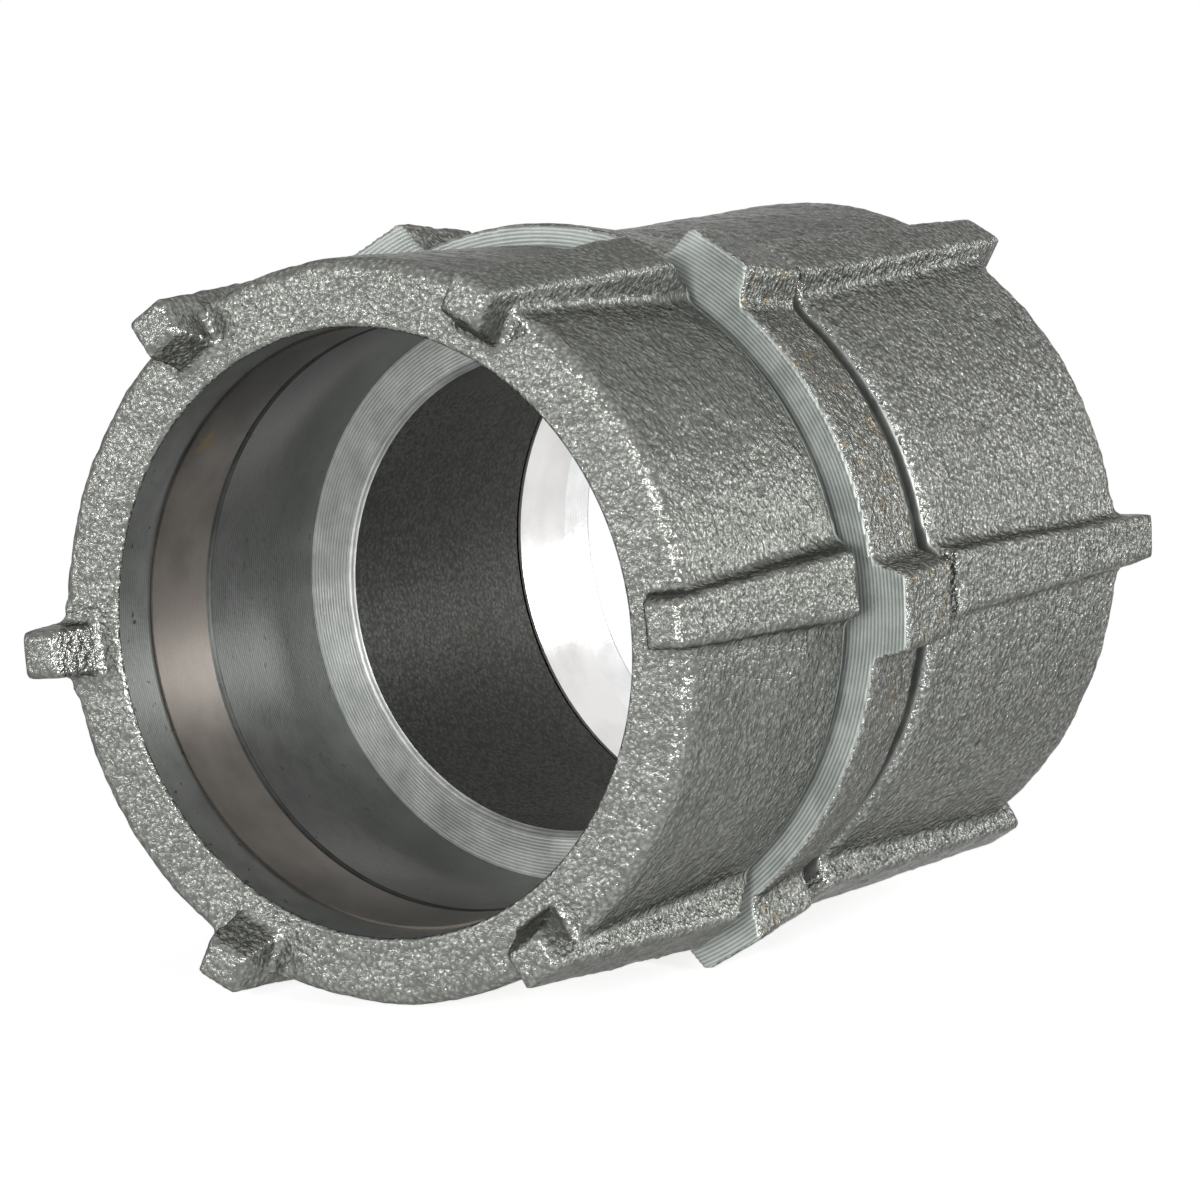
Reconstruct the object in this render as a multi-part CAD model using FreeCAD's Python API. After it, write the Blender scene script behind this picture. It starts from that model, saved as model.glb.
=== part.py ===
"""Threadless compression coupling for 2-1/2 inch rigid steel conduit, in millimetres.

The conduit axis runs along Y. A cast body carries a drafted collar with six wrench lugs.
Each end has a male thread, a socket for the conduit and a coned mouth. A split bevelled
ring sits in each mouth, and a ribbed gland nut screws over the thread and closes on it.
The near end faces -Y. The origin is on the axis, half way between the two gland nuts' faces.
"""
import FreeCAD, Part
import math
import os

Vector = FreeCAD.Vector

# Conduit and the clearances of what goes round it
conduit_diameter = 73.03
socket_clearance = 0.385
ring_clearance = 0.485
nut_hole_clearance = 0.785

# Cast body
body_length = 81.5
web_length = 27.5
stop_height = 6.3
stop_edge_break = 0.8
socket_wall = 3.9
mouth_depth_radial = 3.0
body_end_break = 0.5
thread_relief_width = 2.2
thread_relief_depth = 1.3

# Collar of the body, nearer to the near end, with its wrench lugs
collar_length = 15.0
collar_centre = -6.25
collar_height = 6.4
collar_draft_drop = 2.0
collar_edge_radius = 0.5
lug_count = 6
lug_height = 4.4
lug_rear_drop = 2.1
lug_tip_width = 9.5
lug_root_width = 12.0
lug_root_radius = 1.6
lug_tip_radius = 0.8
lug_phase = 0.0

# Split compression ring
ring_length = 11.5
ring_thickness = 2.8
ring_edge_thickness = 0.4
ring_bevel_angle = 34.0
ring_seat_gap = 0.25
ring_split_width = 1.6
ring_split_angle = 18.0

# Gland nuts, each of which ends a gap short of the collar
near_nut_gap = 2.84
far_nut_gap = 4.84
nut_hole_length = 6.5
nut_front_wall = 8.4
nut_thread_wall = 3.75
nut_thread_clearance = 0.05
nut_mouth_break = 1.1
nut_hole_edge_radius = 0.5
nut_face_edge_radius = 1.8
nut_rear_edge_radius = 1.4

# Ribs of the gland nuts, which run past the nut's face as short horns
rib_count = 6
near_rib_phase = 5.2
far_rib_phase = 1.3
rib_overhang = 6.0
rib_front_height = 2.3
near_rib_rear_height = 5.1
far_rib_rear_height = 3.5
rib_front_width = 6.0
rib_rear_width = 8.4
rib_flank_draft = 7.0
rib_root_radius = 2.4
rib_tip_radius = 0.9
rib_end_radius = 1.1
horn_ridge_inset = 2.6
horn_foot_inset = 5.5
near_rib_setback = 6.0
far_rib_setback = 0.6
rib_rear_root_height = 0.4

# How far a shape reaches into its neighbour where they are one casting
overlap = 1.5
root_sink = 0.1

# Sizes that follow from the ones above
conduit_radius = conduit_diameter / 2
socket_radius = conduit_radius + socket_clearance
bore_radius = socket_radius - stop_height
thread_radius = socket_radius + socket_wall
mouth_radius = socket_radius + mouth_depth_radial
body_end = body_length / 2
bevel_slope = math.tan(math.radians(ring_bevel_angle))
seat_shift = ring_seat_gap / math.sin(math.radians(ring_bevel_angle))

ring_inner_radius = conduit_radius + ring_clearance
ring_outer_radius = ring_inner_radius + ring_thickness
ring_edge_radius = ring_inner_radius + ring_edge_thickness
ring_inner_end = body_end - (mouth_radius - ring_edge_radius) / bevel_slope + seat_shift
ring_outer_end = ring_inner_end + ring_length

nut_hole_radius = conduit_radius + nut_hole_clearance
nut_thread_radius = thread_radius + nut_thread_clearance
nut_seat_end = ring_outer_end + seat_shift + (ring_edge_radius - nut_hole_radius) / bevel_slope
nut_seat_start = nut_seat_end - (nut_thread_radius - nut_hole_radius) / bevel_slope
nut_face = nut_seat_end + nut_hole_length
nut_front_radius = nut_hole_radius + nut_front_wall
nut_rear_radius = nut_thread_radius + nut_thread_wall

collar_front = collar_centre - collar_length / 2
collar_rear = collar_centre + collar_length / 2
collar_front_radius = thread_radius + collar_height
collar_rear_radius = collar_front_radius - collar_draft_drop
near_nut_length = nut_face + collar_front - near_nut_gap
far_nut_length = nut_face - collar_rear - far_nut_gap


def rounded_wire(corners, place):
    """Closed wire through corners (a, b, radius), each rounded as far as its sides allow."""
    arcs = []
    for index, (a, b, radius) in enumerate(corners):
        corner = Vector(a, b, 0)
        before = Vector(*corners[index - 1][:2], 0) - corner
        after = Vector(*corners[(index + 1) % len(corners)][:2], 0) - corner
        half_turn = before.getAngle(after) / 2
        setback = min(radius / math.tan(half_turn), 0.45 * before.Length, 0.45 * after.Length)
        before.normalize()
        after.normalize()
        middle = before + after
        if setback < 1e-6 or middle.Length < 1e-6:
            arcs.append((corner,))
            continue
        middle.normalize()
        true_radius = setback * math.tan(half_turn)
        nearest = true_radius / math.sin(half_turn) - true_radius
        arcs.append((corner + before * setback, corner + middle * nearest, corner + after * setback))
    edges = []
    for index, arc in enumerate(arcs):
        if len(arc) == 3:
            edges.append(Part.Arc(*[place(point.x, point.y) for point in arc]).toShape())
        following = arcs[(index + 1) % len(arcs)]
        start = place(arc[-1].x, arc[-1].y)
        end = place(following[0].x, following[0].y)
        edges.append(Part.LineSegment(start, end).toShape())
    return Part.Wire(edges)


def turned(corners):
    """Solid of revolution about Y from corners (y, radius from the axis, corner rounding)."""
    wire = rounded_wire(corners, lambda y, r: Vector(r, y, 0))
    return Part.Face(wire).revolve(Vector(0, 0, 0), Vector(0, 1, 0), 360)


def at_angle(shape, angle):
    """Copy of a shape made on +X, turned towards +Z by the angle in degrees."""
    copy = shape.copy()
    copy.rotate(Vector(0, 0, 0), Vector(0, -1, 0), angle)
    return copy


def pattern(shape, count, phase):
    """Copies of a shape spaced evenly round the axis."""
    return [at_angle(shape, phase + 360 * index / count) for index in range(count)]


def bar_section(y, wall_radius, tip_radius, tip_width, root_width, root_rounding, tip_rounding):
    """Section of a rib or lug at y: drafted flanks that flow out into the round wall."""
    root_half = root_width / 2
    skirt_half = root_half + root_rounding
    root_level = math.sqrt(wall_radius ** 2 - root_half ** 2) - root_sink
    skirt_level = math.sqrt(wall_radius ** 2 - skirt_half ** 2) - root_sink
    base_level = skirt_level - overlap
    corners = [
        (-skirt_half, base_level, 0),
        (-skirt_half, skirt_level, 0),
        (-root_half, root_level, root_rounding),
        (-tip_width / 2, tip_radius, tip_rounding),
        (tip_width / 2, tip_radius, tip_rounding),
        (root_half, root_level, root_rounding),
        (skirt_half, skirt_level, 0),
        (skirt_half, base_level, 0),
    ]
    return rounded_wire(corners, lambda t, r: Vector(r, y, t))


def flank_spread(height):
    """Width that the draft of both flanks adds from a rib's tip down to its root."""
    return 2 * height * math.tan(math.radians(rib_flank_draft))


def make_rib(side, length, setback, rear_height):
    """One rib of a gland nut on +X, with its horn past the face and its sloped rear end."""
    face = side * nut_face
    horn_end = side * (nut_face + rib_overhang)
    rear = side * (nut_face - length)
    tip_end = side * (nut_face - length + setback)
    front_tip = nut_front_radius + rib_front_height
    rear_tip = nut_rear_radius + rear_height
    front_root_width = rib_front_width + flank_spread(rib_front_height)
    rear_root_width = rib_rear_width + flank_spread(rear_height)
    front_section = bar_section(
        horn_end, nut_front_radius, front_tip, rib_front_width, front_root_width,
        rib_root_radius, rib_tip_radius)
    rear_section = bar_section(
        rear, nut_rear_radius, rear_tip, rib_rear_width, rear_root_width,
        rib_root_radius, rib_tip_radius)
    bar = Part.makeLoft([front_section, rear_section], True, True)

    # Seen from the side: the horn's foot rises from the face, and the rear end slopes
    ridge = nut_front_radius - horn_ridge_inset
    foot = nut_front_radius - horn_foot_inset
    above = rear_tip + overlap
    behind = rear - side * overlap
    floor = nut_rear_radius - overlap
    side_view = [
        (face, foot, 0),
        (horn_end, ridge, rib_end_radius),
        (horn_end, front_tip, rib_end_radius),
        (tip_end, rear_tip, rib_tip_radius),
        (rear, nut_rear_radius + rib_rear_root_height, 0),
        (rear, floor, 0),
        (face - side * overlap, floor, 0),
    ]
    side_face = Part.Face(rounded_wire(side_view, lambda y, r: Vector(r, y, -above)))
    side_prism = side_face.extrude(Vector(0, 0, 2 * above))

    # Seen from outside: the horn's rounded nose, and the full width behind the face
    nose_half = front_root_width / 2
    wide_half = rear_root_width / 2 + rib_root_radius + overlap
    nose_start = face + side * root_sink
    plan_view = [
        (nose_start, -nose_half, 0),
        (horn_end, -rib_front_width / 2, rib_end_radius),
        (horn_end, rib_front_width / 2, rib_end_radius),
        (nose_start, nose_half, 0),
        (nose_start, wide_half, 0),
        (behind, wide_half, 0),
        (behind, -wide_half, 0),
        (nose_start, -wide_half, 0),
    ]
    plan_face = Part.Face(rounded_wire(plan_view, lambda y, t: Vector(0, y, t)))
    plan_prism = plan_face.extrude(Vector(2 * above, 0, 0))

    horn_low = ridge - overlap - horn_foot_inset
    horn = Part.Face(rounded_wire([
        (-nose_half, horn_low, 0),
        (-rib_front_width / 2, front_tip, rib_tip_radius),
        (rib_front_width / 2, front_tip, rib_tip_radius),
        (nose_half, horn_low, 0),
    ], lambda t, r: Vector(r, horn_end, t))).extrude(Vector(0, -side * (rib_overhang + overlap), 0))
    return bar.fuse(horn).common(side_prism).common(plan_prism)


def make_nut(side, length, rib_phase, rib_setback, rib_rear_height):
    """Gland nut: hole for the conduit, cone for the ring, thread bore and ribbed wall."""
    face = side * nut_face
    rear = side * (nut_face - length)
    wall = turned([
        (face, nut_hole_radius, nut_hole_edge_radius),
        (face, nut_front_radius, nut_face_edge_radius),
        (rear, nut_rear_radius, nut_rear_edge_radius),
        (rear, nut_thread_radius + nut_mouth_break, 0),
        (rear + side * nut_mouth_break, nut_thread_radius, 0),
        (side * nut_seat_start, nut_thread_radius, 0),
        (side * nut_seat_end, nut_hole_radius, 0),
    ])
    ribs = pattern(make_rib(side, length, rib_setback, rib_rear_height), rib_count, rib_phase)
    return wall.fuse(ribs).removeSplitter()


def make_ring(side):
    """Compression ring bevelled at both ends, with the split that lets it close."""
    bevel_length = (ring_outer_radius - ring_edge_radius) / bevel_slope
    ring = turned([
        (side * ring_inner_end, ring_inner_radius, 0),
        (side * ring_inner_end, ring_edge_radius, 0),
        (side * (ring_inner_end + bevel_length), ring_outer_radius, 0),
        (side * (ring_outer_end - bevel_length), ring_outer_radius, 0),
        (side * ring_outer_end, ring_edge_radius, 0),
        (side * ring_outer_end, ring_inner_radius, 0),
    ])
    reach = ring_outer_radius + overlap
    middle = side * (ring_inner_end + ring_outer_end) / 2
    corner = Vector(0, middle - ring_length, -ring_split_width / 2)
    split = Part.makeBox(reach, 2 * ring_length, ring_split_width, corner)
    return ring.cut(at_angle(split, ring_split_angle))


def make_lug():
    """One wrench lug of the collar on +X, flush with the collar's two faces."""
    sections = []
    front_tip = collar_front_radius + lug_height
    for y, wall, tip in (
        (collar_front, collar_front_radius, front_tip),
        (collar_rear, collar_rear_radius, front_tip - lug_rear_drop),
    ):
        spread = (lug_root_width - lug_tip_width) * (tip - wall) / lug_height
        sections.append(bar_section(
            y, wall, tip, lug_tip_width, lug_tip_width + spread, lug_root_radius, lug_tip_radius))
    return Part.makeLoft(sections, True, True)


def make_body():
    """Body: web with the bore between two sockets, threads outside, collar and lugs."""
    stop = web_length / 2
    cone_start = body_end - mouth_depth_radial / bevel_slope
    relief_radius = thread_radius - thread_relief_depth
    shell = turned([
        (-body_end, mouth_radius, 0),
        (-body_end, thread_radius, body_end_break),
        (collar_front - thread_relief_width, thread_radius, 0),
        (collar_front - thread_relief_width, relief_radius, 0),
        (collar_front, relief_radius, 0),
        (collar_front, collar_front_radius, collar_edge_radius),
        (collar_rear, collar_rear_radius, collar_edge_radius),
        (collar_rear, relief_radius, 0),
        (collar_rear + thread_relief_width, relief_radius, 0),
        (collar_rear + thread_relief_width, thread_radius, 0),
        (body_end, thread_radius, body_end_break),
        (body_end, mouth_radius, 0),
        (cone_start, socket_radius, 0),
        (stop, socket_radius, 0),
        (stop, bore_radius, stop_edge_break),
        (-stop, bore_radius, stop_edge_break),
        (-stop, socket_radius, 0),
        (-cone_start, socket_radius, 0),
    ])
    lugs = pattern(make_lug(), lug_count, lug_phase)
    return shell.fuse(lugs).removeSplitter()


os.makedirs("parts", exist_ok=True)
pieces = {
    "coupling_body": make_body(),
    "near_ring": make_ring(-1),
    "near_nut": make_nut(
        -1, near_nut_length, near_rib_phase, near_rib_setback, near_rib_rear_height),
    "far_ring": make_ring(1),
    "far_nut": make_nut(
        1, far_nut_length, far_rib_phase, far_rib_setback, far_rib_rear_height),
}
for name, shape in pieces.items():
    shape.exportStep("parts/" + name + ".step")
    print(name, "solids", len(shape.Solids), "valid", shape.isValid(), "volume", round(shape.Volume))
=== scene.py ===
"""Dressed model of a threadless compression coupling for 2-1/2 inch rigid steel conduit.

The conduit axis runs along Y, and the near gland nut faces -Y. Sizes are in millimetres in
the classes below and become metres where a mesh is made.
"""

import logging
import math
from dataclasses import dataclass, field
from enum import Enum, IntEnum
from typing import Callable, Sequence

import bpy
import numpy as np
from mathutils import Matrix, Vector, noise

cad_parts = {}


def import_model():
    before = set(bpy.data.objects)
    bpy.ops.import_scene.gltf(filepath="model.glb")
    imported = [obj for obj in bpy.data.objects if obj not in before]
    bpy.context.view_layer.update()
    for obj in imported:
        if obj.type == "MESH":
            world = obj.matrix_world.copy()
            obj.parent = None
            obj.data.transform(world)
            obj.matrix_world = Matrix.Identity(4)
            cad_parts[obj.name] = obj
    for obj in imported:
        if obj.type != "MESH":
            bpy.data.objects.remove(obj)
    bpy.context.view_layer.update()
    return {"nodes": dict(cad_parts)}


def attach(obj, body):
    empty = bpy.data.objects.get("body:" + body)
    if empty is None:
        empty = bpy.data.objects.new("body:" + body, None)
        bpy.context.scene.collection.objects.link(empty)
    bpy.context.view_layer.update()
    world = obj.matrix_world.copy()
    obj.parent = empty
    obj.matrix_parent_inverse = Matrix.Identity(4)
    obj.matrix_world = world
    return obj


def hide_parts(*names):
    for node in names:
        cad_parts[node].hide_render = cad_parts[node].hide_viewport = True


LOG = logging.getLogger("conduit_coupling")
METRES = 0.001
PITCH = 25.4 / 11.5


class Side(Enum):
    """The two ends of the coupling, as the direction along Y in which each one faces."""

    NEAR = -1
    FAR = 1


class Grain(Enum):
    """Which way the tool marks run on a machined face."""

    FACED = "rings on a flat face"
    BORED = "rings along a bore or a shaft"


class BodyFinish(IntEnum):
    """Order of the coupling body's finishes."""

    CAST = 0
    FACED = 1
    BORED = 2
    BORE = 3
    COLLAR = 4
    THREAD = 5


class NutFinish(IntEnum):
    """Order of a gland nut's finishes."""

    CAST = 0
    FACED = 1
    THREAD = 2
    CORNER = 3
    HOLE = 4


class Graph:
    """Short hand for building a material's node tree."""

    def __init__(self, name: str) -> None:
        """Start an empty material with a Principled shader wired to the output.

        Args:
            name: The material's name.
        """
        self.material = bpy.data.materials.new(name)
        self.material.use_nodes = True
        self.nodes = self.material.node_tree.nodes
        self.links = self.material.node_tree.links
        self.shader = self.nodes["Principled BSDF"]
        self.place = self.add("ShaderNodeTexCoord").outputs["Object"]

    def add(self, kind: str, **values: object) -> bpy.types.Node:
        """Add a node and set its properties, or its inputs where the name is an input's.

        Args:
            kind: Blender's node type.
            values: Property or input values; an underscore in an input's name is a space.

        Returns:
            The new node.
        """
        node = self.nodes.new(kind)
        for key, value in values.items():
            label = key.replace("_", " ")
            if label in node.inputs:
                node.inputs[label].default_value = value
            else:
                setattr(node, key, value)
        return node

    def join(self, source: bpy.types.NodeSocket, target: bpy.types.NodeSocket) -> None:
        """Wire one socket to another."""
        self.links.new(source, target)

    def noise(self, size: float, detail: float, roughness: float = 0.55) -> bpy.types.NodeSocket:
        """Noise whose features are about as large as asked.

        Args:
            size: Feature size in millimetres.
            detail: Number of finer octaves.
            roughness: Weight of the finer octaves.

        Returns:
            The noise value's socket.
        """
        node = self.add(
            "ShaderNodeTexNoise", Scale=1.0 / (size * METRES), Detail=detail, Roughness=roughness)
        self.join(self.place, node.inputs["Vector"])
        return node.outputs["Fac"]

    def cells(self, size: float) -> bpy.types.NodeSocket:
        """Distance to the nearest of scattered points about as far apart as asked.

        Args:
            size: Spacing of the points in millimetres.

        Returns:
            The distance's socket.
        """
        node = self.add("ShaderNodeTexVoronoi", feature="F1", Scale=1.0 / (size * METRES))
        self.join(self.place, node.inputs["Vector"])
        return node.outputs["Distance"]

    def math(self, operation: str, first: object, second: object = 0.0) -> bpy.types.NodeSocket:
        """One step of arithmetic on sockets or numbers.

        Args:
            operation: Blender's name of the operation.
            first: First socket or number.
            second: Second socket or number.

        Returns:
            The result's socket.
        """
        node = self.add("ShaderNodeMath", operation=operation)
        for index, value in enumerate((first, second)):
            if isinstance(value, bpy.types.NodeSocket):
                self.join(value, node.inputs[index])
            else:
                node.inputs[index].default_value = value
        return node.outputs[0]

    def ramp(
        self, source: bpy.types.NodeSocket, stops: Sequence[tuple[float, Sequence[float]]],
    ) -> bpy.types.NodeSocket:
        """Colour ramp over a value.

        Args:
            source: The value's socket.
            stops: Pairs of position and colour.

        Returns:
            The colour's socket.
        """
        node = self.add("ShaderNodeValToRGB")
        elements = node.color_ramp.elements
        while len(elements) < len(stops):
            elements.new(0.5)
        for element, (position, colour) in zip(elements, stops):
            element.position = position
            element.color = (*colour, 1.0)
        self.join(source, node.inputs["Fac"])
        return node.outputs["Color"]

    def blend(
        self, under: bpy.types.NodeSocket, over: Sequence[float], share: bpy.types.NodeSocket,
    ) -> bpy.types.NodeSocket:
        """Lay one colour over another.

        Args:
            under: The colour below.
            over: The colour on top.
            share: How much of the top colour shows.

        Returns:
            The colour's socket.
        """
        node = self.add("ShaderNodeMix", data_type="RGBA")
        self.join(share, node.inputs["Factor"])
        self.join(under, node.inputs[6])
        node.inputs[7].default_value = (*over, 1.0)
        return node.outputs[2]

    def bump(
        self, height: bpy.types.NodeSocket, depth: float, strength: float,
        under: bpy.types.NodeSocket | None = None,
    ) -> bpy.types.NodeSocket:
        """Bump of a height field, over another bump if one is given.

        Args:
            height: The height's socket, from 0 to 1.
            depth: Height in millimetres of a value of 1.
            strength: Share of the bump that is used.
            under: Normal of the bump below this one.

        Returns:
            The normal's socket.
        """
        node = self.add("ShaderNodeBump", Strength=strength, Distance=depth * METRES)
        self.join(height, node.inputs["Height"])
        if under is not None:
            self.join(under, node.inputs["Normal"])
        return node.outputs["Normal"]


@dataclass(frozen=True)
class CastZinc:
    """Galvanised sand casting: a grey-green zinc film, painted darker in the hollows between the grains as
    painted shade and lighter on their crests as a painted highlight.

    The scales are multiples of the grain, which is in millimetres, as its depth is.
    """

    name: str
    # Colours of the grain: painted shade in the hollows, the zinc film's own colour, and a painted highlight on
    # the crests.
    hollow: tuple[float, float, float] = (0.150, 0.155, 0.141)
    body: tuple[float, float, float] = (0.222, 0.228, 0.212)
    crest: tuple[float, float, float] = (0.33, 0.338, 0.318)
    flat_glare: tuple[float, float, float] = (0.30, 0.30, 0.29)
    stain: tuple[float, float, float] = (0.215, 0.18, 0.115)
    stained: float = 0.0
    metallic: float = 0.8
    roughness: float = 0.2
    roughness_spread: float = 0.25
    grain: float = 0.42
    grain_depth: float = 0.075
    cloud_scale: float = 14.0
    peel_scale: float = 2.6
    cell_scale: float = 1.6
    cell_share: float = 0.45
    cloud_share: float = 0.12
    stain_size: float = 2.4
    peel_rise: float = 4.0
    grain_rise: float = 3.0

    def material(self) -> bpy.types.Material:
        """Build the material.

        Returns:
            The node-based material.
        """
        graph = Graph(self.name)
        cloud = graph.noise(self.grain * self.cloud_scale, 2.0)
        peel = graph.noise(self.grain * self.peel_scale, 2.0)
        fine = graph.noise(self.grain, 2.0, 0.65)
        grains = graph.math("SUBTRACT", 1.0, graph.cells(self.grain * self.cell_scale))
        fine_part = graph.math("MULTIPLY", fine, 1.0 - self.cell_share)
        height = graph.math("ADD", fine_part, graph.math("MULTIPLY", grains, self.cell_share))
        tone = graph.math("ADD", height, graph.math("MULTIPLY", cloud, self.cloud_share))
        # The colour follows the bumps' height: painted shade in the hollows and a painted highlight on the
        # crests.
        stops = [(0.46, self.hollow), (0.61, self.body), (0.76, self.crest)]
        film = graph.ramp(tone, stops)
        if self.stained:
            patches = graph.ramp(
                graph.noise(self.stain_size, 4.0, 0.7), [(0.57, (0.0, 0.0, 0.0)), (0.66, (self.stained,) * 3)])
            film = graph.blend(film, self.stain, patches)
        graph.join(film, graph.shader.inputs["Base Color"])
        rough = graph.math("MULTIPLY_ADD", fine, -self.roughness_spread)
        rough.node.inputs[2].default_value = self.roughness + 0.5 * self.roughness_spread
        graph.join(rough, graph.shader.inputs["Roughness"])
        graph.shader.inputs["Metallic"].default_value = self.metallic
        graph.shader.inputs["Specular Tint"].default_value = (*self.flat_glare, 1.0)
        lumps = graph.bump(peel, self.grain_depth * self.peel_rise, 0.8)
        skin = graph.bump(height, self.grain_depth * self.grain_rise, 1.0, lumps)
        graph.join(skin, graph.shader.inputs["Normal"])
        return graph.material


@dataclass(frozen=True)
class TurnedZinc:
    """Machined face with fine tool rings under a thin grey-green zinc film.

    Lengths are in millimetres, and the stray is how far the rings wander, in radians.
    """

    name: str
    grain: Grain
    dark: tuple[float, float, float] = (0.30, 0.32, 0.305)
    light: tuple[float, float, float] = (0.42, 0.44, 0.425)
    pit: tuple[float, float, float] = (0.02, 0.02, 0.018)
    metallic: float = 0.8
    roughness: float = 0.4
    roughness_spread: float = 0.2
    stray: float = 2.2
    stray_size: float = 7.0
    cloud_size: float = 4.0
    pit_size: float = 1.3
    skin_size: float = 0.7
    skin_depth: float = 0.05
    feed: float = 0.43
    ring_depth: float = 0.02
    ringed: float = 0.25
    pitted: float = 0.0

    def material(self) -> bpy.types.Material:
        """Build the material.

        Returns:
            The node-based material.
        """
        graph = Graph(self.name)
        parts = graph.add("ShaderNodeSeparateXYZ")
        graph.join(graph.place, parts.inputs[0])
        if self.grain is Grain.FACED:
            squares = [graph.math("POWER", parts.outputs[axis], 2.0) for axis in ("X", "Z")]
            across = graph.math("SQRT", graph.math("ADD", *squares))
        else:
            across = parts.outputs["Y"]
        stir = graph.noise(self.stray_size, 2.0)
        turns = graph.math("MULTIPLY", across, 2 * math.pi / (self.feed * METRES))
        wave = graph.math("SINE", graph.math("ADD", turns, graph.math("MULTIPLY", stir, self.stray)))
        rings = graph.math("MULTIPLY_ADD", wave, 0.5)
        rings.node.inputs[2].default_value = 0.5
        cloud = graph.noise(self.cloud_size, 4.0, 0.6)
        ring_part = graph.math("MULTIPLY", rings, self.ringed)
        tone = graph.math("ADD", ring_part, graph.math("MULTIPLY", cloud, 1.0 - self.ringed))
        film = graph.ramp(tone, [(0.3, self.dark), (0.7, self.light)])
        pits = graph.ramp(
            graph.noise(self.pit_size, 2.0), [(0.69, (0.0, 0.0, 0.0)), (0.72, (self.pitted,) * 3)])
        graph.join(graph.blend(film, self.pit, pits), graph.shader.inputs["Base Color"])
        rough = graph.math("MULTIPLY_ADD", cloud, self.roughness_spread)
        rough.node.inputs[2].default_value = self.roughness - 0.5 * self.roughness_spread
        graph.join(rough, graph.shader.inputs["Roughness"])
        graph.shader.inputs["Metallic"].default_value = self.metallic
        skin = graph.bump(graph.noise(self.skin_size, 3.0), self.skin_depth, 0.5)
        graph.join(graph.bump(rings, self.ring_depth, 0.8, skin), graph.shader.inputs["Normal"])
        return graph.material


@dataclass(frozen=True)
class BrownSteel:
    """Plain turned steel of the rings, with a thin brown film, one spot of rust and painted shade that darkens
    the colour towards the top.
    """

    name: str
    dark: tuple[float, float, float] = (0.050, 0.045, 0.038)
    light: tuple[float, float, float] = (0.170, 0.152, 0.134)
    rust: tuple[float, float, float] = (0.17, 0.11, 0.035)
    rust_place: tuple[float, float, float] = (-30.1, -46.1, 21.5)
    rust_size: float = 2.6
    rust_fringe: float = 1.4
    cloud_size: float = 14.0
    skin_size: float = 0.6
    skin_depth: float = 0.03
    # Painted shade: heights in millimetres between which the colour darkens towards the top, and by how much.
    shade_full_above: float = 26.0
    shade_free_below: float = 2.0
    painted_shade_depth: float = 0.3
    metallic: float = 0.85
    roughness: float = 0.38
    roughness_spread: float = 0.2

    def material(self) -> bpy.types.Material:
        """Build the material.

        Returns:
            The node-based material.
        """
        graph = Graph(self.name)
        cloud = graph.noise(self.cloud_size, 4.0)
        parts = graph.add("ShaderNodeSeparateXYZ")
        graph.join(graph.place, parts.inputs[0])
        # Painted shade: the colour grows darker from just above the axis up to the top of the ring.
        shade_rise = graph.add(
            "ShaderNodeMapRange", From_Min=self.shade_free_below * METRES, From_Max=self.shade_full_above * METRES)
        graph.join(parts.outputs["Z"], shade_rise.inputs["Value"])
        tone = graph.math("SUBTRACT", cloud, graph.math("MULTIPLY", shade_rise.outputs["Result"], self.painted_shade_depth))
        film = graph.ramp(tone, [(0.18, self.dark), (0.58, self.light)])
        gap = graph.add("ShaderNodeVectorMath", operation="DISTANCE")
        graph.join(graph.place, gap.inputs[0])
        gap.inputs[1].default_value = [value * METRES for value in self.rust_place]
        edge = graph.math("MULTIPLY", graph.noise(self.rust_fringe, 3.0), 1.3 * self.rust_size * METRES)
        specks = graph.ramp(
            graph.math("MULTIPLY", graph.math("SUBTRACT", edge, gap.outputs["Value"]), 1.0 / METRES),
            [(0.0, (0.0, 0.0, 0.0)), (0.7, (0.8, 0.8, 0.8))])
        graph.join(graph.blend(film, self.rust, specks), graph.shader.inputs["Base Color"])
        graph.shader.inputs["Metallic"].default_value = self.metallic
        rough = graph.math("MULTIPLY_ADD", cloud, self.roughness_spread)
        rough.node.inputs[2].default_value = self.roughness - 0.5 * self.roughness_spread
        graph.join(rough, graph.shader.inputs["Roughness"])
        skin = graph.bump(graph.noise(self.skin_size, 3.0), self.skin_depth, 0.4)
        graph.join(skin, graph.shader.inputs["Normal"])
        return graph.material


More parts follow.
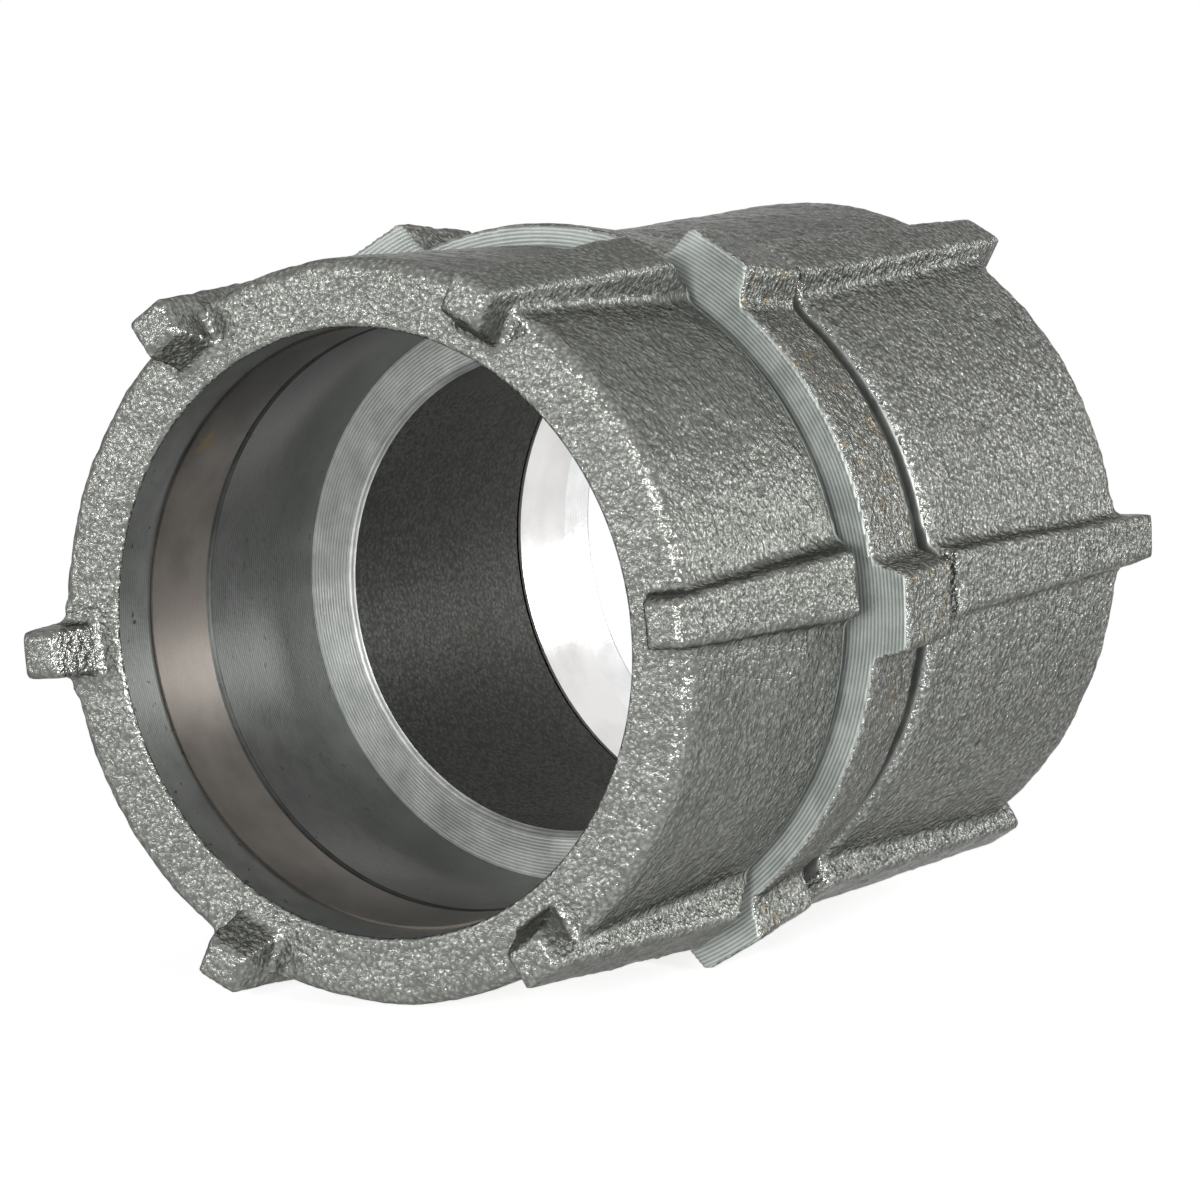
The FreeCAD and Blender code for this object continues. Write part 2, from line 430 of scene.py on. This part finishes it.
class Shell:
    """Mesh under construction: points, faces and the finish of each face."""

    sharp_corner: float = math.radians(35)

    def __init__(self, finishes: Sequence[bpy.types.Material]) -> None:
        """Start empty.

        Args:
            finishes: The materials, in the order in which faces name them.
        """
        self.finishes = list(finishes)
        self.points: list[np.ndarray] = []
        self.faces: list[tuple[int, ...]] = []
        self.finish: list[int] = []
        self.count = 0

    def add(self, points: np.ndarray, faces: Sequence[Sequence[int]], finish: Sequence[int]) -> None:
        """Add points and faces.

        Args:
            points: Array of points, in millimetres.
            faces: Faces as indices into these points.
            finish: The finish of each face, by number.
        """
        self.points.append(np.asarray(points, float))
        self.faces.extend(tuple(int(index) + self.count for index in face) for face in faces)
        self.finish.extend(int(number) for number in finish)
        self.count += len(points)

    def grid(self, rows: np.ndarray, finish: int, outward: bool = True, climb: int = 0) -> None:
        """Add a sheet of quads that closes on itself round the axis.

        Args:
            rows: Array of rows by columns by 3; the columns run round the axis.
            finish: The sheet's finish, by number.
            outward: Whether the quads keep the order that faces away for rows along -Y.
            climb: Number of rows that one turn of a helix climbs.
        """
        high, wide = rows.shape[:2]
        index = np.arange(high * wide).reshape(high, wide)
        next_turn = index[np.maximum(np.arange(high) - climb, 0), :1]
        ahead = np.concatenate([index[:, 1:], next_turn], axis=1)
        quads = np.stack([index[:-1], ahead[:-1], ahead[1:], index[1:]], axis=-1).reshape(-1, 4)
        if not outward:
            quads = quads[:, ::-1]
        self.add(rows.reshape(-1, 3), quads, [finish] * len(quads))

    def lathe(self, profile: Sequence[tuple[float, float]], finish: int, segments: int = 256) -> None:
        """Turn a profile about the axis, with a crisp edge at its ends and sharp corners.

        Args:
            profile: Points (y, radius); the surface faces left of its direction of travel
                on a drawing with y to the right and the radius up.
            finish: The surface's finish, by number.
            segments: Number of columns round the axis.
        """
        angle = np.linspace(0, 2 * np.pi, segments, endpoint=False)
        rows = [
            np.stack([r * np.cos(angle), np.full(segments, y), r * np.sin(angle)], axis=-1)
            for y, r in profile
        ]
        steps = np.diff(np.array(profile), axis=0)
        steps /= np.linalg.norm(steps, axis=1)[:, None]
        sharp = np.where((steps[1:] * steps[:-1]).sum(axis=1) < math.cos(self.sharp_corner))[0] + 1
        starts = [0, *sharp]
        ends = [*sharp, len(rows) - 1]
        for first, last in zip(starts, ends):
            self.grid(np.array(rows[first:last + 1]), finish, outward=False)

    def build(self, name: str) -> bpy.types.Object:
        """Make the Blender object.

        Args:
            name: The object's name.

        Returns:
            The object, with smooth faces, at the origin.
        """
        mesh = bpy.data.meshes.new(name)
        points = np.concatenate(self.points) * METRES
        mesh.from_pydata(points.tolist(), [], self.faces)
        for finish in self.finishes:
            mesh.materials.append(finish)
        mesh.polygons.foreach_set("material_index", self.finish)
        mesh.polygons.foreach_set("use_smooth", [True] * len(self.faces))
        mesh.update()
        piece = bpy.data.objects.new(name, mesh)
        bpy.context.scene.collection.objects.link(piece)
        return piece


@dataclass(frozen=True)
class CastSkin:
    """Rough outside of a casting, taken from its solid at an even grain.

    The waves are the size and height of the sand's marks, from grains to slow swells.
    """

    node: bpy.types.Object
    voxel: float
    rounding: int = 2
    waves: tuple[tuple[float, float], ...] = ((1.2, 0.10), (2.8, 0.12), (9.0, 0.16))

    def remeshed(self) -> bpy.types.Mesh:
        """Even mesh of the solid with softened edges.

        Returns:
            A new mesh, in metres.
        """
        stand_in = bpy.data.objects.new("casting_pattern", self.node.data.copy())
        bpy.context.scene.collection.objects.link(stand_in)
        remesh = stand_in.modifiers.new("even", "REMESH")
        remesh.mode = "VOXEL"
        remesh.voxel_size = self.voxel * METRES
        soften = stand_in.modifiers.new("soften", "SMOOTH")
        soften.factor = 0.5
        soften.iterations = self.rounding
        shape = stand_in.evaluated_get(bpy.context.evaluated_depsgraph_get())
        mesh = bpy.data.meshes.new_from_object(shape)
        bpy.data.objects.remove(stand_in)
        return mesh

    def add_to(
        self, shell: Shell, keep: Callable[[np.ndarray, np.ndarray], np.ndarray],
        rough: Callable[[np.ndarray], np.ndarray],
        finish: Callable[[np.ndarray, np.ndarray], np.ndarray],
        settle: Callable[[np.ndarray], np.ndarray],
    ) -> None:
        """Add the skin to a shell.

        Args:
            shell: The shell that takes the faces.
            keep: Says of face centres and normals which faces stay.
            rough: Gives each point's share of the casting's roughness.
            finish: Gives each face's finish from its centre and normal.
            settle: Moves points onto machined planes.
        """
        mesh = self.remeshed()
        points = np.empty(len(mesh.vertices) * 3)
        mesh.vertices.foreach_get("co", points)
        normals = np.empty(len(mesh.vertices) * 3)
        mesh.vertices.foreach_get("normal", normals)
        points = points.reshape(-1, 3) / METRES
        normals = normals.reshape(-1, 3)
        height = np.zeros(len(points))
        for size, depth in self.waves:
            height += depth * np.array([noise.noise(Vector(point) / size) for point in points])
        points = settle(points + normals * (height * rough(points))[:, None])
        corners = np.empty(len(mesh.loops), dtype=np.int64)
        mesh.loops.foreach_get("vertex_index", corners)
        faces = corners.reshape(-1, 4)
        centres = points[faces].mean(axis=1)
        diagonals = [points[faces[:, end]] - points[faces[:, start]] for start, end in ((0, 2), (1, 3))]
        across = np.cross(*diagonals)
        facing = across / np.maximum(np.linalg.norm(across, axis=1), 1e-9)[:, None]
        kept = keep(centres, facing)
        faces = faces[kept]
        used, renumbered = np.unique(faces, return_inverse=True)
        shell.add(points[used], renumbered.reshape(-1, 4), finish(centres[kept], facing[kept]))
        bpy.data.meshes.remove(mesh)


def radius_of(points: np.ndarray) -> np.ndarray:
    """Distance of points from the conduit axis."""
    return np.hypot(points[:, 0], points[:, 2])


def outwardness(points: np.ndarray, normals: np.ndarray) -> np.ndarray:
    """Share of each normal that points away from the conduit axis."""
    radial = points[:, [0, 2]] / np.maximum(radius_of(points), 1e-9)[:, None]
    return (radial * normals[:, [0, 2]]).sum(axis=1)


@dataclass(frozen=True)
class PipeThread:
    """Straight right-hand thread shared by the body's ends and the nuts."""

    crest: float = 41.5
    root: float = 40.15
    nut_clearance: float = 0.16
    steps: tuple[float, ...] = (0.0, 0.08, 0.42, 0.5, 0.92)
    segments: int = 144

    def rows(self, start: float, end: float, shift: float, runout: float) -> np.ndarray:
        """Rows of points that follow the helix between two stations.

        Args:
            start: Lowest y.
            end: Highest y.
            shift: Radius added all over, which keeps a nut's thread clear of the body's.
            runout: Length over which the thread fades at each end.

        Returns:
            Array of rows by columns by 3.
        """
        angle = np.linspace(0, 2 * np.pi, self.segments, endpoint=False)
        heights = (0.0, 0.0, 1.0, 1.0, 0.0)
        rows = []
        first = math.floor(start / PITCH) - 1
        for turn in range(first, math.ceil(end / PITCH) + 2):
            for step, height in zip(self.steps, heights):
                y = (turn + step - angle / (2 * np.pi)) * PITCH
                y = np.clip(y, start, end)
                fade = np.clip(np.minimum(y - start, end - y) / runout, 0, 1)
                r = self.root + (self.crest - self.root) * height * fade + shift
                rows.append(np.stack([r * np.cos(angle), y, r * np.sin(angle)], axis=-1))
        return np.array(rows)


@dataclass(frozen=True)
class CouplingBody:
    """Body: lugged collar, threads, coned mouths, sockets, stops and the bore."""

    end: float = 40.75
    stop: float = 13.75
    cone_start: float = 36.302
    mouth_radius: float = 39.9
    socket_radius: float = 36.9
    bore_radius: float = 30.6
    stop_edge: float = 0.8
    relief_radius: float = 39.5
    relief_width: float = 2.2
    skin_start: float = 41.0
    skin_lap: float = 0.6
    skin_margin: float = 0.8
    skin_fade: float = 0.8
    face_zone: float = 0.3
    ledge_depth: float = 0.03
    thread_runout: float = 1.6
    voxel: float = 0.561
    collar_front: float = -13.75
    collar_rear: float = 1.25
    thread: PipeThread = field(default_factory=PipeThread)

    def build(self, node: bpy.types.Object, finishes: Sequence[bpy.types.Material]) -> bpy.types.Object:
        """Make the dressed body.

        Args:
            node: The body's solid.
            finishes: The finishes in the order of BodyFinish.

        Returns:
            The body's object.
        """
        shell = Shell(finishes)
        skin = CastSkin(node, self.voxel)

        def keep(centres: np.ndarray, normals: np.ndarray) -> np.ndarray:
            """Keep the collar and its lugs."""
            y = centres[:, 1]
            within = (y > self.collar_front - self.skin_margin) & (y < self.collar_rear + self.skin_margin)
            return within & (radius_of(centres) > self.skin_start)

        def rough(points: np.ndarray) -> np.ndarray:
            """Roughness starts just behind the machined front face."""
            return np.clip((points[:, 1] - self.collar_front - self.face_zone) / self.skin_fade, 0, 1)

        def settle(points: np.ndarray) -> np.ndarray:
            """Lay the machined front face flat."""
            front = points[:, 1] < self.collar_front + self.face_zone
            points[front, 1] = self.collar_front
            return points

        def finish(centres: np.ndarray, normals: np.ndarray) -> np.ndarray:
            """The front face is faced, and the rest is cast."""
            return np.where(normals[:, 1] < -0.7, BodyFinish.COLLAR, BodyFinish.CAST)

        skin.add_to(shell, keep, rough, finish, settle)
        for side in Side:
            self.add_end(shell, side)
        bore_end = self.stop - self.stop_edge
        shell.lathe([(bore_end, self.bore_radius), (-bore_end, self.bore_radius)], BodyFinish.BORE)
        return shell.build("lugged_body")

    def add_end(self, shell: Shell, side: Side) -> None:
        """Add one end: thread, end face, mouth, socket and stop.

        Args:
            shell: The shell that takes the faces.
            side: Which end.
        """
        collar = self.collar_front if side is Side.NEAR else self.collar_rear
        relief = collar + side.value * self.relief_width
        end = side.value * self.end
        ledge = collar - side.value * self.ledge_depth
        foot = BodyFinish.COLLAR if side is Side.NEAR else BodyFinish.CAST
        self.turn(shell, [(ledge, self.skin_start + self.skin_lap), (ledge, self.relief_radius)], side, foot)
        # The relief groove and the thread take the darker finish that paints shade in the gap by the collar.
        groove = [(ledge, self.relief_radius), (relief, self.relief_radius), (relief, self.thread.root)]
        self.turn(shell, groove, side, BodyFinish.THREAD)
        rows = self.thread.rows(min(relief, end), max(relief, end), 0.0, self.thread_runout)
        shell.grid(rows, BodyFinish.THREAD, outward=False, climb=len(self.thread.steps))
        self.turn(shell, [(end, self.thread.root), (end, self.mouth_radius)], side, BodyFinish.FACED)
        cone = side.value * self.cone_start
        self.turn(shell, [(end, self.mouth_radius), (cone, self.socket_radius)], side, BodyFinish.BORED)
        stop = side.value * self.stop
        # The far socket wall takes the bore's nearly black finish, painted shade that runs on into the bore
        # without a break.
        wall = BodyFinish.BORED if side is Side.NEAR else BodyFinish.BORE
        self.turn(shell, [(cone, self.socket_radius), (stop, self.socket_radius)], side, wall)
        edge = stop - side.value * self.stop_edge
        broken = self.bore_radius + self.stop_edge
        self.turn(shell, [(stop, self.socket_radius), (stop, broken)], side, BodyFinish.FACED)
        self.turn(shell, [(stop, broken), (edge, self.bore_radius)], side, BodyFinish.FACED)

    @staticmethod
    def turn(shell: Shell, profile: Sequence[tuple[float, float]], side: Side, finish: int) -> None:
        """Lathe a profile given from the outside inwards, facing away from the metal.

        Args:
            shell: The shell that takes the faces.
            profile: Points (y, radius), from the collar round the end into the bore.
            side: Which end the profile belongs to.
            finish: The surface's finish, by number.
        """
        ordered = list(profile) if side is Side.FAR else list(profile)[::-1]
        shell.lathe(ordered, finish)


@dataclass(frozen=True)
class GlandNut:
    """Gland nut: ribbed cast wall, hole, ring seat and thread."""

    side: Side
    length: float
    face: float = 56.086
    hole_radius: float = 37.3
    hole_edge: float = 0.5
    hole_length: float = 6.5
    seat_slope: float = 0.6745
    seat_brim: float = 0.45
    thread_start_radius: float = 41.4
    mouth_radius: float = 41.95
    mouth_depth: float = 1.1
    lip_width: float = 0.6
    # Depth of the rear band that takes the corner finish: worn smooth on the near nut, painted shade on the far
    # nut.
    rear_band: float = 1.3
    voxel: float = 0.5
    skin_fade: float = 0.8
    horn_start: float = 0.5
    horn_roughness: float = 0.5
    inward: float = -0.3
    inside_depth: float = 0.5
    inside_slack: float = 0.05
    mouth_zone: float = 0.7
    edge_slack: float = 0.02
    edge_reach: float = 0.9
    edge_width: float = 0.3
    edge_steps: int = 5
    thread_runout: float = 1.0
    thread: PipeThread = field(default_factory=PipeThread)

    def build(
        self, node: bpy.types.Object, finishes: Sequence[bpy.types.Material], name: str,
    ) -> bpy.types.Object:
        """Make the dressed nut.

        Args:
            node: The nut's solid.
            finishes: The finishes in the order of NutFinish.
            name: The piece's name.

        Returns:
            The nut's object.
        """
        shell = Shell(finishes)
        skin = CastSkin(node, self.voxel)
        sign = self.side.value
        rim = self.hole_radius + self.hole_edge
        lip = self.mouth_radius + self.lip_width

        def keep(centres: np.ndarray, normals: np.ndarray) -> np.ndarray:
            """Keep the outside, both faces and the horns, and drop the bored inside."""
            radius = radius_of(centres)
            depth = self.face - sign * centres[:, 1]
            facing_in = outwardness(centres, normals) < self.inward
            inside = (radius < lip + self.inside_slack) & facing_in & (depth > self.inside_depth)
            behind = (radius < lip + self.edge_slack) & (depth > self.mouth_zone)
            return ~inside & ~behind & (radius > rim + self.edge_slack)

        def rough(points: np.ndarray) -> np.ndarray:
            """Cast all over, calmer on the horns, and fading to nothing at the machined edges."""
            depth = self.face - sign * points[:, 1]
            front = np.clip((radius_of(points) - rim) / self.skin_fade, 0, 1)
            rear = np.clip((self.length - self.rear_band - depth) / self.skin_fade, 0, 1)
            calm = np.where(depth < -self.horn_start, self.horn_roughness, 1.0)
            return front * calm * rear

        def settle(points: np.ndarray) -> np.ndarray:
            """Draw the skin's two machined edges onto their circles."""
            radius = radius_of(points)
            depth = self.face - sign * points[:, 1]
            edges = (
                (depth < self.edge_reach, rim, self.face),
                (depth > self.length - self.edge_reach, lip, self.face - self.length),
            )
            for zone, circle, station in edges:
                near = zone & (radius < circle + self.edge_width)
                points[np.ix_(near, (0, 2))] *= (circle / np.maximum(radius[near], 1e-9))[:, None]
                points[near, 1] = sign * station
            return points

        def finish(centres: np.ndarray, normals: np.ndarray) -> np.ndarray:
            """The rear band takes the corner finish, worn smooth on the near nut and painted shade on the far
            nut, and the rest is cast.
            """
            depth = self.face - sign * centres[:, 1]
            return np.where(depth > self.length - self.rear_band, NutFinish.CORNER, NutFinish.CAST)

        skin.add_to(shell, keep, rough, finish, settle)
        self.add_bore(shell)
        return shell.build(name)

    def add_bore(self, shell: Shell) -> None:
        """Add the machined inside: edge, hole, ring seat, thread and rear mouth.

        Args:
            shell: The shell that takes the faces.
        """
        sign = self.side.value
        face = sign * self.face
        seat = sign * (self.face - self.hole_length)
        rear = sign * (self.face - self.length)
        seat_depth = (self.thread_start_radius - self.hole_radius) / self.seat_slope
        thread_start = seat - sign * seat_depth
        brim = seat - sign * self.seat_brim
        brim_radius = self.hole_radius + self.seat_brim * self.seat_slope
        mouth = rear + sign * self.mouth_depth
        edge = []
        for turn in np.linspace(math.pi / 2, 0, self.edge_steps):
            inset = self.hole_edge * (1 - math.sin(turn))
            widening = self.hole_edge * (1 - math.cos(turn))
            edge.append((face - sign * inset, self.hole_radius + widening))
        hole = [(face - sign * self.hole_edge, self.hole_radius), (brim, self.hole_radius), (brim, brim_radius)]
        cone = [(brim, brim_radius), (thread_start, self.thread_start_radius)]
        lip = [
            (mouth, self.thread_start_radius),
            (rear, self.mouth_radius),
            (rear, self.mouth_radius + self.lip_width),
        ]
        bands = (
            (edge, NutFinish.CAST), (hole, NutFinish.HOLE), (cone, NutFinish.HOLE), (lip, NutFinish.FACED))
        for profile, finish in bands:
            ordered = profile if self.side is Side.FAR else profile[::-1]
            shell.lathe(ordered[::-1], finish)
        low, high = sorted((thread_start, mouth))
        rows = self.thread.rows(low, high, self.thread.nut_clearance, self.thread_runout)
        shell.grid(rows, NutFinish.THREAD, climb=len(self.thread.steps))


@dataclass(frozen=True)
class Softbox:
    """Square lamp that points at the origin, with its place and width in metres and its power in watts."""

    name: str
    place: tuple[float, float, float]
    width: float
    power: float

    def add(self) -> None:
        """Add the lamp to the scene."""
        data = bpy.data.lights.new(self.name, "AREA")
        data.size = self.width
        data.energy = self.power
        lamp = bpy.data.objects.new(self.name, data)
        lamp.location = self.place
        lamp.rotation_euler = (-Vector(self.place)).to_track_quat("-Z", "Y").to_euler()
        bpy.context.scene.collection.objects.link(lamp)


@dataclass(frozen=True)
class Studio:
    """White sweep, soft lamps and the camera at the photograph's viewpoint."""

    eye: tuple[float, float, float] = (0.39074, -0.63622, 0.09085)
    right: tuple[float, float, float] = (0.8526, 0.5220, -0.0229)
    up: tuple[float, float, float] = (-0.0453, 0.1176, 0.9920)
    focal: float = 174.65
    floor: float = -0.0472
    floor_reach: float = 6.0
    floor_tone: float = 0.9
    floor_glow: float = 0.7
    white_from: float = 0.13
    white_to: float = 0.30
    surround: float = 0.22
    surround_colour: tuple[float, float, float] = (0.80, 0.81, 0.82)
    softboxes: tuple[Softbox, ...] = (
        Softbox("front_softbox", (0.36, -0.97, 0.12), 0.20, 7.5),
        Softbox("side_softbox", (0.93, -0.32, 0.10), 0.16, 5.0),
        Softbox("left_softbox", (-0.65, -0.80, 0.12), 0.20, 1.9),
        Softbox("rear_softbox", (0.50, 0.88, 0.12), 0.25, 2.0),
    )

    def add_camera(self) -> None:
        """Place the camera and make it the scene's."""
        data = bpy.data.cameras.new("viewpoint")
        data.sensor_width = 36.0
        data.lens = self.focal
        data.clip_start = 0.01
        data.clip_end = 50.0
        camera = bpy.data.objects.new("viewpoint", data)
        right = Vector(self.right).normalized()
        back = right.cross(Vector(self.up)).normalized()
        up = back.cross(right)
        turn = Matrix((right, up, back)).transposed()
        camera.matrix_world = Matrix.Translation(self.eye) @ turn.to_4x4()
        bpy.context.scene.collection.objects.link(camera)
        bpy.context.scene.camera = camera

    @staticmethod
    def seen_ray(graph: Graph) -> bpy.types.NodeSocket:
        """Value of 1 for rays from the camera, or by way of a reflection or through glass.

        Args:
            graph: The material's graph.

        Returns:
            The value's socket.
        """
        path = graph.add("ShaderNodeLightPath").outputs
        mirrored = graph.math("MAXIMUM", path["Is Glossy Ray"], path["Is Transmission Ray"])
        return graph.math("MAXIMUM", path["Is Camera Ray"], mirrored)

    def add_floor(self) -> None:
        """Lay the pale floor that shows white to the camera and in reflections."""
        mesh = bpy.data.meshes.new("studio_floor")
        reach = self.floor_reach
        corners = [(-reach, -reach), (reach, -reach), (reach, reach), (-reach, reach)]
        mesh.from_pydata([(x, y, self.floor) for x, y in corners], [], [(0, 1, 2, 3)])
        floor = bpy.data.objects.new("studio_floor", mesh)
        bpy.context.scene.collection.objects.link(floor)
        graph = Graph("white_floor")
        graph.shader.inputs["Base Color"].default_value = (*(self.floor_tone,) * 3, 1.0)
        graph.shader.inputs["Roughness"].default_value = 0.9
        seen = self.seen_ray(graph)
        glow = graph.add("ShaderNodeEmission")
        graph.join(graph.math("MULTIPLY", seen, self.floor_glow), glow.inputs["Strength"])
        lifted = graph.add("ShaderNodeAddShader")
        graph.join(graph.shader.outputs[0], lifted.inputs[0])
        graph.join(glow.outputs[0], lifted.inputs[1])
        white = graph.add("ShaderNodeEmission")
        away = graph.add("ShaderNodeVectorMath", operation="LENGTH")
        graph.join(graph.place, away.inputs[0])
        fade = graph.add(
            "ShaderNodeMapRange", interpolation_type="SMOOTHSTEP", From_Min=self.white_from,
            From_Max=self.white_to)
        graph.join(away.outputs["Value"], fade.inputs["Value"])
        blend = graph.add("ShaderNodeMixShader")
        graph.join(graph.math("MULTIPLY", fade.outputs["Result"], seen), blend.inputs["Fac"])
        graph.join(lifted.outputs[0], blend.inputs[1])
        graph.join(white.outputs[0], blend.inputs[2])
        graph.join(blend.outputs[0], graph.nodes["Material Output"].inputs["Surface"])
        mesh.materials.append(graph.material)

    def add_world(self) -> None:
        """Soft grey surround for the object, and pure white behind it for the camera."""
        world = bpy.data.worlds.new("soft_surround")
        bpy.context.scene.world = world
        world.use_nodes = True
        nodes = world.node_tree.nodes
        links = world.node_tree.links
        soft = nodes["Background"]
        soft.inputs["Color"].default_value = (*self.surround_colour, 1.0)
        soft.inputs["Strength"].default_value = self.surround
        white = nodes.new("ShaderNodeBackground")
        white.inputs["Color"].default_value = (1.0, 1.0, 1.0, 1.0)
        path = nodes.new("ShaderNodeLightPath")
        mix = nodes.new("ShaderNodeMixShader")
        seen = path.outputs["Is Camera Ray"]
        for kind in ("Is Glossy Ray", "Is Transmission Ray"):
            either = nodes.new("ShaderNodeMath")
            either.operation = "MAXIMUM"
            links.new(seen, either.inputs[0])
            links.new(path.outputs[kind], either.inputs[1])
            seen = either.outputs[0]
        links.new(seen, mix.inputs["Fac"])
        links.new(soft.outputs[0], mix.inputs[1])
        links.new(white.outputs[0], mix.inputs[2])
        links.new(mix.outputs[0], nodes["World Output"].inputs["Surface"])

    def build(self) -> None:
        """Set up the whole studio."""
        bpy.context.scene.view_settings.view_transform = "Standard"
        self.add_camera()
        self.add_floor()
        self.add_world()
        for softbox in self.softboxes:
            softbox.add()


def finishes() -> dict[str, bpy.types.Material]:
    """Build all the finishes.

    Returns:
        The materials by name.
    """
    looks = (
        CastZinc("cast_zinc"),
        # Painted light: the far nut's cast zinc is painted lighter than the near nut's, over a deeper peel.
        CastZinc(
            "peeled_painted_light_zinc", body=(0.26, 0.266, 0.25), crest=(0.42, 0.43, 0.41), roughness=0.15,
            grain_depth=0.12),
        # Painted light: the collar's cast zinc is painted lighter than the nuts', with real stains on top.
        CastZinc(
            "collar_painted_light_zinc", body=(0.27, 0.276, 0.26), crest=(0.44, 0.45, 0.43), stain=(0.24, 0.175, 0.085),
            stained=0.75, roughness=0.16, grain_depth=0.11),
        # Painted shade: cast zinc painted nearly black, for the bore and the far socket wall.
        CastZinc(
            "bore_painted_shade_zinc", hollow=(0.040, 0.041, 0.037), body=(0.060, 0.062, 0.056),
            crest=(0.085, 0.087, 0.080), metallic=0.6, grain=0.4, grain_depth=0.02, roughness=0.5),
        # Painted light: faced zinc painted paler than the other turned zinc, on the end faces, stops and nut
        # lips.
        TurnedZinc("faced_painted_light_zinc", Grain.FACED, dark=(0.47, 0.49, 0.472), light=(0.77, 0.79, 0.77)),
        # Painted shade: turned zinc painted dark, for the mouth cones, the near socket wall and the nut
        # threads.
        TurnedZinc(
            "bored_painted_shade_zinc", Grain.BORED, dark=(0.052, 0.055, 0.051), light=(0.105, 0.109, 0.105),
            ring_depth=0.006, pitted=0.6),
        TurnedZinc(
            "rubbed_zinc", Grain.BORED, dark=(0.28, 0.295, 0.28), light=(0.44, 0.46, 0.445),
            ring_depth=0.0),
        # Painted shade: turned zinc painted darker, for the body's thread and relief by the collar and the far
        # nut's rear band.
        TurnedZinc("gap_painted_shade_zinc", Grain.BORED, dark=(0.17, 0.177, 0.169), light=(0.28, 0.29, 0.279)),
        # Painted shade: the near nut's hole is painted darker than the faced zinc.
        TurnedZinc(
            "near_hole_painted_shade_zinc", Grain.BORED, dark=(0.11, 0.116, 0.11), light=(0.19, 0.198, 0.19),
            ring_depth=0.004, pitted=0.8),
        # Painted light: the far nut's hole is painted nearly white, for the glow beyond the far mouth.
        TurnedZinc(
            "far_hole_painted_light_zinc", Grain.BORED, dark=(0.72, 0.73, 0.72), light=(0.86, 0.865, 0.86),
            metallic=1.0, roughness=0.22, ring_depth=0.002),
        TurnedZinc(
            "collar_face_zinc", Grain.FACED, dark=(0.19, 0.21, 0.198), light=(0.43, 0.455, 0.435),
            metallic=0.3, feed=0.5, ring_depth=0.014, ringed=0.35),
        # The near ring's steel, with painted shade towards the top.
        BrownSteel("brown_steel"),
        # Painted light: the far ring is painted nearly white for the glow beyond the far mouth, over the
        # painted shade towards the top.
        BrownSteel("far_ring_painted_light_steel", dark=(0.62, 0.60, 0.585), light=(0.84, 0.83, 0.82), roughness=0.2),
    )
    return {look.name: look.material() for look in looks}


def main() -> None:
    """Build the coupling and its studio."""
    logging.basicConfig(level=logging.INFO, format="%(name)s: %(message)s")
    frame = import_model()
    nodes = frame["nodes"]
    looks = finishes()

    def pick(*names: str) -> list[bpy.types.Material]:
        """Finishes by their names."""
        return [looks[name] for name in names]

    # Painted light on the collar's cast zinc and on the faced ends and stops; painted shade on the mouth cones,
    # the near socket, the bore with the far socket, and the thread by the collar.
    body_looks = pick("collar_painted_light_zinc", "faced_painted_light_zinc", "bored_painted_shade_zinc", "bore_painted_shade_zinc", "collar_face_zinc", "gap_painted_shade_zinc")
    body = CouplingBody().build(nodes["coupling_body"], body_looks)
    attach(body, "coupling")
    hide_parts("coupling_body")
    LOG.info("%s has %d faces", body.name, len(body.data.polygons))

    near = GlandNut(Side.NEAR, length=39.496)
    # Near nut: painted light on the faced lip, painted shade on the thread and in the hole.
    near_looks = pick("cast_zinc", "faced_painted_light_zinc", "bored_painted_shade_zinc", "rubbed_zinc", "near_hole_painted_shade_zinc")
    far = GlandNut(Side.FAR, length=49.996, rear_band=0.15, voxel=0.56)
    # Far nut: painted light on the cast zinc, the faced lip and the hole, painted shade on the thread and the
    # rear band.
    far_looks = pick("peeled_painted_light_zinc", "faced_painted_light_zinc", "bored_painted_shade_zinc", "gap_painted_shade_zinc", "far_hole_painted_light_zinc")
    nuts = (
        (near, near_looks, "near_nut", "near_gland", "near_gland_nut"),
        (far, far_looks, "far_nut", "far_gland", "far_gland_nut"),
    )
    for nut, nut_looks, node, rides_on, name in nuts:
        piece = nut.build(nodes[node], nut_looks, name)
        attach(piece, rides_on)
        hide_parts(node)
        LOG.info("%s has %d faces", piece.name, len(piece.data.polygons))

    # Painted shade towards the top on both rings, and painted light that makes the far ring nearly white.
    for node, steel in (("near_ring", "brown_steel"), ("far_ring", "far_ring_painted_light_steel")):
        ring = nodes[node]
        ring.data.materials.clear()
        ring.data.materials.append(looks[steel])
        LOG.info("%s keeps its solid's shape", node)

    Studio().build()


if __name__ == "__main__":
    main()
